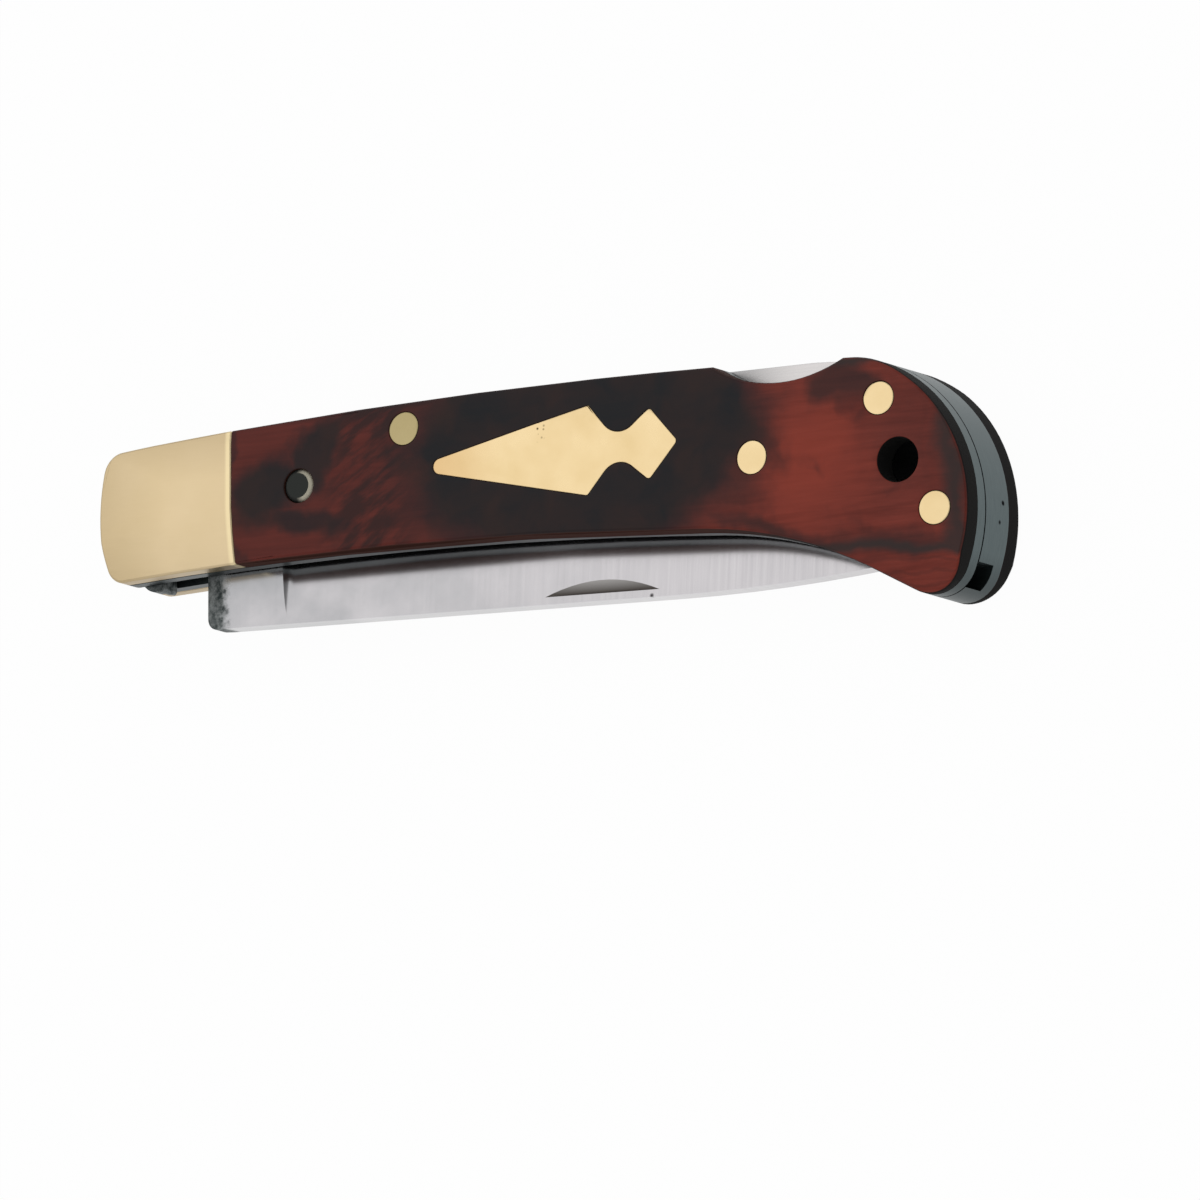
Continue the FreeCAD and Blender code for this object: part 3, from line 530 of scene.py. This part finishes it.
fibre = add_node(
    wood, "ShaderNodeTexNoise",
    {"Vector": fibre_place.outputs[0], "Scale": 1.0, "Detail": 4.0, "Roughness": 0.6,
     "Distortion": 0.3},
)
grain = add_node(
    wood, "ShaderNodeMapRange",
    {"Value": fibre.outputs["Fac"], "From Min": 0.3, "From Max": 0.7},
)
red_tone = mix_colours(wood, grain.outputs[0], linear("#672419"), linear("#7E3226"))
from_glow = add_node(
    wood, "ShaderNodeVectorMath", {0: shifted.outputs[0], 1: (32.5, 2.0, 12.0)},
    operation="DISTANCE",
)
glow = add_node(
    wood, "ShaderNodeMapRange",
    {"Value": from_glow.outputs["Value"], "From Min": 8.5, "From Max": 2.0, "To Max": 0.55},
    interpolation_type="SMOOTHSTEP",
)
warmed = mix_colours(wood, glow.outputs[0], red_tone, linear("#983A28"))
blotches = add_node(
    wood, "ShaderNodeTexNoise",
    {"Vector": shifted.outputs[0], "Scale": 0.17, "Detail": 3.0, "Roughness": 0.5},
)
blotch_depth = add_node(
    wood, "ShaderNodeMapRange",
    {"Value": blotches.outputs["Fac"], "From Min": 0.5, "From Max": 0.72, "To Max": 0.55},
    interpolation_type="SMOOTHSTEP",
)
to_front = add_node(
    wood, "ShaderNodeMapRange",
    {"Value": split.outputs["X"], "From Min": 26.0, "From Max": 10.0, "To Max": 0.52},
)
stain = add_node(
    wood, "ShaderNodeMath",
    {0: blotch_depth.outputs[0], 1: to_front.outputs[0]}, operation="MAXIMUM",
)
stained = mix_colours(wood, stain.outputs[0], warmed, linear("#3B1614"))
figure_turn = add_node(
    wood, "ShaderNodeMapping", {"Vector": place, "Rotation": (0, 0, math.radians(58))}
)
figure_stretch = add_node(
    wood, "ShaderNodeVectorMath",
    {0: figure_turn.outputs[0], 1: (0.85, 0.22, 0.4)}, operation="MULTIPLY",
)
figure_noise = add_node(
    wood, "ShaderNodeTexNoise",
    {"Vector": figure_stretch.outputs[0], "Scale": 1.0, "Detail": 3.0, "Roughness": 0.55},
)
figure = add_node(
    wood, "ShaderNodeMapRange",
    {"Value": figure_noise.outputs["Fac"], "From Min": 0.36, "From Max": 0.62},
    interpolation_type="SMOOTHSTEP",
)
figure_end = add_node(
    wood, "ShaderNodeMapRange",
    {"Value": split.outputs["X"], "From Min": -12.0, "From Max": -16.0, "To Max": 0.85},
)
figure_start = add_node(
    wood, "ShaderNodeMapRange",
    {"Value": split.outputs["X"], "From Min": -25.0, "From Max": -21.0},
)
figure_part = add_node(
    wood, "ShaderNodeMath",
    {0: figure_end.outputs[0], 1: figure_start.outputs[0]}, operation="MULTIPLY",
)
figure_depth = add_node(
    wood, "ShaderNodeMath",
    {0: figure.outputs[0], 1: figure_part.outputs[0]}, operation="MULTIPLY",
)
figured = mix_colours(wood, figure_depth.outputs[0], stained, linear("#2A1514"))
smoke_tint = add_node(
    wood, "ShaderNodeMapRange",
    {"Value": blotches.outputs["Fac"], "From Min": 0.36, "From Max": 0.62},
)
smoke_tone = mix_colours(wood, smoke_tint.outputs[0], linear("#101217"), linear("#291917"))
smoke_grain = add_node(
    wood, "ShaderNodeMath", {0: grain.outputs[0], 1: 0.35}, operation="MULTIPLY"
)
smoky = mix_colours(wood, smoke_grain.outputs[0], smoke_tone, linear("#201818"))
dyed_and_shaded = mix_colours(wood, dye_and_shade, figured, smoky)
layer_level = add_node(
    wood, "ShaderNodeMath", {0: wander.outputs["Fac"], 1: 0.6, 2: level.outputs[0]},
    operation="MULTIPLY_ADD",
)
layer_line = add_node(
    wood, "ShaderNodeMath", {0: layer_level.outputs[0], 1: 0.16}, operation="PINGPONG"
)
on_line = add_node(
    wood, "ShaderNodeMapRange",
    {"Value": layer_line.outputs[0], "From Min": 0.07, "From Max": 0.02, "To Max": 0.22},
)
rolled_off = add_node(
    wood, "ShaderNodeMapRange", {"Value": level.outputs[0], "From Min": 5.6, "From Max": 5.2}
)
butt_part = add_node(
    wood, "ShaderNodeMapRange", {"Value": split.outputs["X"], "From Min": 20.0, "From Max": 32.0}
)
line_part = add_node(
    wood, "ShaderNodeMath",
    {0: rolled_off.outputs[0], 1: butt_part.outputs[0]}, operation="MULTIPLY",
)
line_depth = add_node(
    wood, "ShaderNodeMath", {0: on_line.outputs[0], 1: line_part.outputs[0]}, operation="MULTIPLY"
)
lined = mix_colours(wood, line_depth.outputs[0], dyed_and_shaded, linear("#1B0F0E"))
from_layer = add_node(
    wood, "ShaderNodeMath", {0: layer_level.outputs[0], 1: 5.45}, operation="SUBTRACT"
)
off_layer = add_node(wood, "ShaderNodeMath", {0: from_layer.outputs[0]}, operation="ABSOLUTE")
in_layer = add_node(
    wood, "ShaderNodeMapRange",
    {"Value": off_layer.outputs[0], "From Min": 0.24, "From Max": 0.02, "To Max": 0.8},
    interpolation_type="SMOOTHSTEP",
)
layer_depth = add_node(
    wood, "ShaderNodeMath", {0: in_layer.outputs[0], 1: butt_part.outputs[0]}, operation="MULTIPLY"
)
layered = mix_colours(wood, layer_depth.outputs[0], lined, linear("#2C2625"))
# Painted shade: faces that slope away from the top are darker, nearly black at the butt.
facing = add_node(wood, "ShaderNodeSeparateXYZ", {0: normal})
slope = add_node(wood, "ShaderNodeMath", {0: facing.outputs["Z"]}, operation="ABSOLUTE")
on_wall = add_node(
    wood, "ShaderNodeMapRange",
    {"Value": slope.outputs[0], "From Min": 0.75, "From Max": 0.45},
)
wall_shade_tone = mix_colours(wood, butt_part.outputs[0], linear("#3C2018"), linear("#0C0B0A"))
wall_shaded = mix_colours(wood, on_wall.outputs[0], layered, wall_shade_tone)
sanding = add_node(
    wood, "ShaderNodeMapRange", {"Value": on_wall.outputs[0], "To Min": 0.36, "To Max": 0.85}
)
pores = add_node(
    wood, "ShaderNodeBump",
    {"Height": fibre.outputs["Fac"], "Strength": 0.06, "Distance": 0.00005},
)
wood.node_tree.links.new(wall_shaded, shader.inputs["Base Color"])
wood.node_tree.links.new(sanding.outputs[0], shader.inputs["Roughness"])
wood.node_tree.links.new(pores.outputs[0], shader.inputs["Normal"])
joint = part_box("front_scale")[0][0]
inset_boxes = [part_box(name) for name in (
    "arrow_inlay", "blade_stop_pin", "rocker_pin", "spring_pin", "upper_butt_pin", "lower_butt_pin"
)]
bore_reach = 2.3
inset_boxes.append([
    [(place_mm + way * bore_reach) * MM for place_mm in lanyard_bore] for way in (-1, 1)
])
mid_height = 6 * MM
crown_level = 3.3 * MM


def weigh_rim(piece, ring, fine):
    """Rings a crowned face with even faces, and weighs its edges: all of the rim, less inside."""
    bpy.ops.object.mode_set(mode="EDIT")
    bpy.ops.mesh.select_all(action="SELECT")
    bpy.ops.mesh.dissolve_degenerate(threshold=0.05 * MM)
    bpy.ops.mesh.dissolve_limited(angle_limit=math.radians(2))
    bpy.ops.mesh.select_mode(type="FACE")
    bpy.ops.object.mode_set(mode="OBJECT")
    for face in piece.data.polygons:
        face.select = abs(face.normal.z) > 0.6 and abs(face.center.z - mid_height) > crown_level
    bpy.ops.object.mode_set(mode="EDIT")
    bpy.ops.mesh.inset(thickness=ring, use_even_offset=False)
    bpy.ops.mesh.select_all(action="DESELECT")
    bpy.ops.mesh.select_mode(type="EDGE")
    bpy.ops.mesh.edges_select_sharp(sharpness=math.radians(40))
    bpy.ops.object.mode_set(mode="OBJECT")
    weights = piece.data.attributes.new("bevel_weight_edge", "FLOAT", "EDGE")
    gap = 0.3 * MM
    for edge in piece.data.edges:
        ends = [piece.data.vertices[corner].co for corner in edge.vertices]
        spot = (ends[0] + ends[1]) / 2
        inside = any(
            low[0] - gap < spot.x < high[0] + gap and low[1] - gap < spot.y < high[1] + gap
            for low, high in inset_boxes
        )
        outside = abs(spot.z - mid_height) > crown_level and spot.x > joint + gap and not inside
        if edge.select:
            weights.data[edge.index].value = 1.0 if outside else fine


for side in ("front", "back"):
    scale = copy_node(f"{side}_scale")
    weigh_rim(scale, ring=0.32 * MM, fine=0.35)
    ease_edges(scale, f"{side}_scale", width=0.28 * MM, steps=3, weighed=True)
    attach(scale, "handle")
    paint(scale, wood)

# Arrow inlay and pins: brass plate and rod, set in the wood and sanded flush with it,
# then buffed bright. Each one's eased rim is painted darker, a painted shade, and the arrow has a
# few pits. The rocker pin is worn and dull, and so are the hidden rivets that hold the bolsters.
brasses = {}
for finish_name, light, dark, tip_glow in (
    ("buffed bright brass", "#E9D2A6", "#DBC08D", 0.6),
    ("worn dull brass", "#AFA179", "#A5956A", 0.0),
):
    brass, shader, place, normal = new_material(finish_name, Metallic=1.0)
    clouds = add_node(brass, "ShaderNodeTexNoise", {"Vector": place, "Scale": 0.3, "Detail": 3.0})
    tone = mix_colours(brass, clouds.outputs["Fac"], linear(light), linear(dark))
    split = add_node(brass, "ShaderNodeSeparateXYZ", {0: place})
    at_tip = add_node(
        brass, "ShaderNodeMapRange",
        {"Value": split.outputs["X"], "From Min": -3.0, "From Max": -10.5, "To Max": tip_glow},
    )
    tipped = mix_colours(brass, at_tip.outputs[0], tone, linear("#CFA873"))
    pit_cells = add_node(brass, "ShaderNodeTexVoronoi", {"Vector": place, "Scale": 1.9})
    pits = add_node(
        brass, "ShaderNodeMapRange",
        {"Value": pit_cells.outputs["Distance"], "From Min": 0.34, "From Max": 0.16},
    )
    from_patch = add_node(
        brass, "ShaderNodeVectorMath", {0: place, 1: (1.4, 7.7, 12.0)}, operation="DISTANCE"
    )
    in_patch = add_node(
        brass, "ShaderNodeMapRange",
        {"Value": from_patch.outputs["Value"], "From Min": 1.2, "From Max": 0.5},
    )
    pitted = add_node(
        brass, "ShaderNodeMath", {0: pits.outputs[0], 1: in_patch.outputs[0]}, operation="MULTIPLY"
    )
    # Painted shade: each inlay's and pin's eased rim is darkened by its slope.
    facing = add_node(brass, "ShaderNodeSeparateXYZ", {0: normal})
    slope = add_node(brass, "ShaderNodeMath", {0: facing.outputs["Z"]}, operation="ABSOLUTE")
    on_edge = add_node(
        brass, "ShaderNodeMapRange",
        {"Value": slope.outputs[0], "From Min": 0.9, "From Max": 0.6},
    )
    pits_and_edge_shade = add_node(
        brass, "ShaderNodeMath", {0: pitted.outputs[0], 1: on_edge.outputs[0]}, operation="MAXIMUM"
    )
    pitted_and_edge_shaded = mix_colours(brass, pits_and_edge_shade.outputs[0], tipped, linear("#3E3218"))
    polish = add_node(
        brass, "ShaderNodeMapRange",
        {"Value": clouds.outputs["Fac"], "To Min": 0.22, "To Max": 0.36},
    )
    brass.node_tree.links.new(pitted_and_edge_shaded, shader.inputs["Base Color"])
    brass.node_tree.links.new(polish.outputs[0], shader.inputs["Roughness"])
    brasses[finish_name] = brass
dress(brasses["worn dull brass"], "front_bolster_rivet", "back_bolster_rivet")
for name in ("arrow_inlay", "spring_pin", "upper_butt_pin", "lower_butt_pin"):
    inlay = copy_node(name)
    ease_edges(inlay, name, width=0.17 * MM)
    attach(inlay, "handle")
    paint(inlay, brasses["buffed bright brass"])
rocker_pin = copy_node("rocker_pin")
ease_edges(rocker_pin, "rocker_pin", width=0.17 * MM)
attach(rocker_pin, "handle")
paint(rocker_pin, brasses["worn dull brass"])

# Lock spring: a leaf of spring steel pinned in the well, blued by tempering.
# Its front end rides on the lock bar, which bends it; the leaf here is fixed and does not bend.
leaf_steel, shader, place, normal = new_material(
    "blued spring steel", Metallic=1.0, Roughness=0.34
)
shader.inputs["Base Color"].default_value = linear("#4A5058")
leaf = copy_node("lock_spring")
ease_edges(leaf, "lock_spring", width=0.1 * MM)
paint(leaf, leaf_steel)
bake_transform(leaf)

# Blade stop pin: a hardened steel rod with a near-black face; its rim carries a painted highlight
# on the side that faces the blade's tip. The hidden pivot pin is cut from the same rod.
stop_steel, shader, place, normal = new_material("dark steel with painted rim highlight", Metallic=1.0)
facing = add_node(stop_steel, "ShaderNodeSeparateXYZ", {0: normal})
# Painted highlight: the rim is light on its +X side and dark on the other.
on_rim = add_node(
    stop_steel, "ShaderNodeMapRange",
    {"Value": facing.outputs["Z"], "From Min": 0.97, "From Max": 0.8},
)
lit_side = add_node(
    stop_steel, "ShaderNodeMapRange",
    {"Value": facing.outputs["X"], "From Min": -0.1, "From Max": 0.25},
)
rim_highlight_tone = mix_colours(stop_steel, lit_side.outputs[0], linear("#3C3E3C"), linear("#C4BFAE"))
tone = mix_colours(stop_steel, on_rim.outputs[0], linear("#2E302E"), rim_highlight_tone)
polish = add_node(
    stop_steel, "ShaderNodeMapRange",
    {"Value": on_rim.outputs[0], "To Min": 0.45, "To Max": 0.6},
)
stop_steel.node_tree.links.new(tone, shader.inputs["Base Color"])
stop_steel.node_tree.links.new(polish.outputs[0], shader.inputs["Roughness"])
dress(stop_steel, "blade_stop_pin", "pivot_pin")

# Studio: a white paper floor, a white surround, one large soft box overhead and a small
# one low at the butt's end, which lights the edges that face it.


def seen_rays(owner, **settings):
    """The light path, and how far a ray comes from the eye, a reflection or clear stuff."""
    rays = add_node(owner, "ShaderNodeLightPath")
    seen = add_node(
        owner, "ShaderNodeMath",
        {0: rays.outputs["Is Camera Ray"], 1: rays.outputs["Is Glossy Ray"]}, operation="ADD",
    )
    seen_through = add_node(
        owner, "ShaderNodeMath",
        {0: seen.outputs[0], 1: rays.outputs["Is Transmission Ray"]}, operation="ADD", **settings,
    )
    return rays, seen_through


bpy.ops.object.select_all(action="DESELECT")
bpy.ops.mesh.primitive_plane_add(size=6.0, location=(0, 0, -0.0002))
floor = bpy.context.object
floor.name = "studio_floor"
paper = bpy.data.materials.new("white paper")
paper.use_nodes = True
paper.node_tree.nodes.clear()
rays, seen_through = seen_rays(paper)
whiten = add_node(
    paper, "ShaderNodeMath", {0: seen_through.outputs[0], 1: 0.97}, operation="MULTIPLY",
    use_clamp=True,
)
matt = add_node(paper, "ShaderNodeBsdfDiffuse", {"Color": linear("#F2F2F2")})
glow = add_node(paper, "ShaderNodeEmission", {"Color": linear("#FFFFFF"), "Strength": 1.0})
sheet = add_node(
    paper, "ShaderNodeMixShader", {0: whiten.outputs[0], 1: matt.outputs[0], 2: glow.outputs[0]}
)
add_node(paper, "ShaderNodeOutputMaterial", {"Surface": sheet.outputs[0]})
floor.data.materials.append(paper)

surround = bpy.data.worlds.new("white surround")
bpy.context.scene.world = surround
surround.use_nodes = True
backdrop = surround.node_tree.nodes["Background"]
backdrop.inputs["Color"].default_value = linear("#FFFFFF")
rays, seen_through = seen_rays(surround, use_clamp=True)
direction = add_node(surround, "ShaderNodeTexCoord")
towards_opening = add_node(
    surround, "ShaderNodeVectorMath",
    {0: direction.outputs["Generated"], 1: (0.45, 0.0, 0.89)}, operation="DOT_PRODUCT",
)
opening = add_node(
    surround, "ShaderNodeMapRange",
    {"Value": towards_opening.outputs["Value"], "From Min": 0.84, "From Max": 0.97,
     "To Min": 0.75, "To Max": 0.25},
    interpolation_type="SMOOTHSTEP",
)
unseen = add_node(
    surround, "ShaderNodeMath",
    {0: rays.outputs["Is Camera Ray"], 1: opening.outputs[0]}, operation="MAXIMUM",
)
level = add_node(
    surround, "ShaderNodeMix", {"Factor": seen_through.outputs[0], 2: 0.65, 3: unseen.outputs[0]}
)
surround.node_tree.links.new(level.outputs[0], backdrop.inputs["Strength"])

centre = Vector((0, 0, mid_height))
for light_name, stand, size, energy in (
    ("soft_box", (-0.42, 0.16, 0.7), 0.9, 1.15),
    ("edge_light", (0.75, 0.16, 0.46), 0.25, 0.16),
):
    bpy.ops.object.light_add(type="AREA", location=stand)
    lamp = bpy.context.object
    lamp.name = light_name
    lamp.data.shape = "RECTANGLE"
    lamp.data.size = size
    lamp.data.size_y = size
    lamp.data.energy = energy
    lamp.rotation_euler = (centre - lamp.location).to_track_quat("-Z", "Y").to_euler()

# Camera: above the middle of the front scale, turned 31.6 degrees towards the butt and 10
# degrees towards the blade's side, and 3 m away, as a long lens sees it.
turn = math.radians(31.6)
tilt = math.radians(9.95)
right = Vector((math.cos(turn), 0, -math.sin(turn)))
upward = Vector(
    (math.sin(turn) * math.sin(tilt), math.cos(tilt), math.cos(turn) * math.sin(tilt))
)
back = right.cross(upward)
distance = 3.0
picture_width, pixels_per_mm = 1200, 10.15
frame_width = picture_width / pixels_per_mm * MM
axis_rise, aim_right, aim_down = 0.4, 4.17, 8.42
axis_point = centre + Vector((0, axis_rise * MM, 0))
aim_point = axis_point + right * aim_right * MM - upward * aim_down * MM
lens = bpy.data.cameras.new("camera")
lens.sensor_width = 36.0
lens.lens = lens.sensor_width * distance / frame_width
lens.clip_start = 0.01
lens.clip_end = 20.0
camera = bpy.data.objects.new("camera", lens)
bpy.context.scene.collection.objects.link(camera)
camera.matrix_world = Matrix.Translation(aim_point + back * distance) @ Matrix(
    (right, upward, back)
).transposed().to_4x4()
bpy.context.scene.camera = camera
bpy.context.scene.view_settings.view_transform = "Standard"
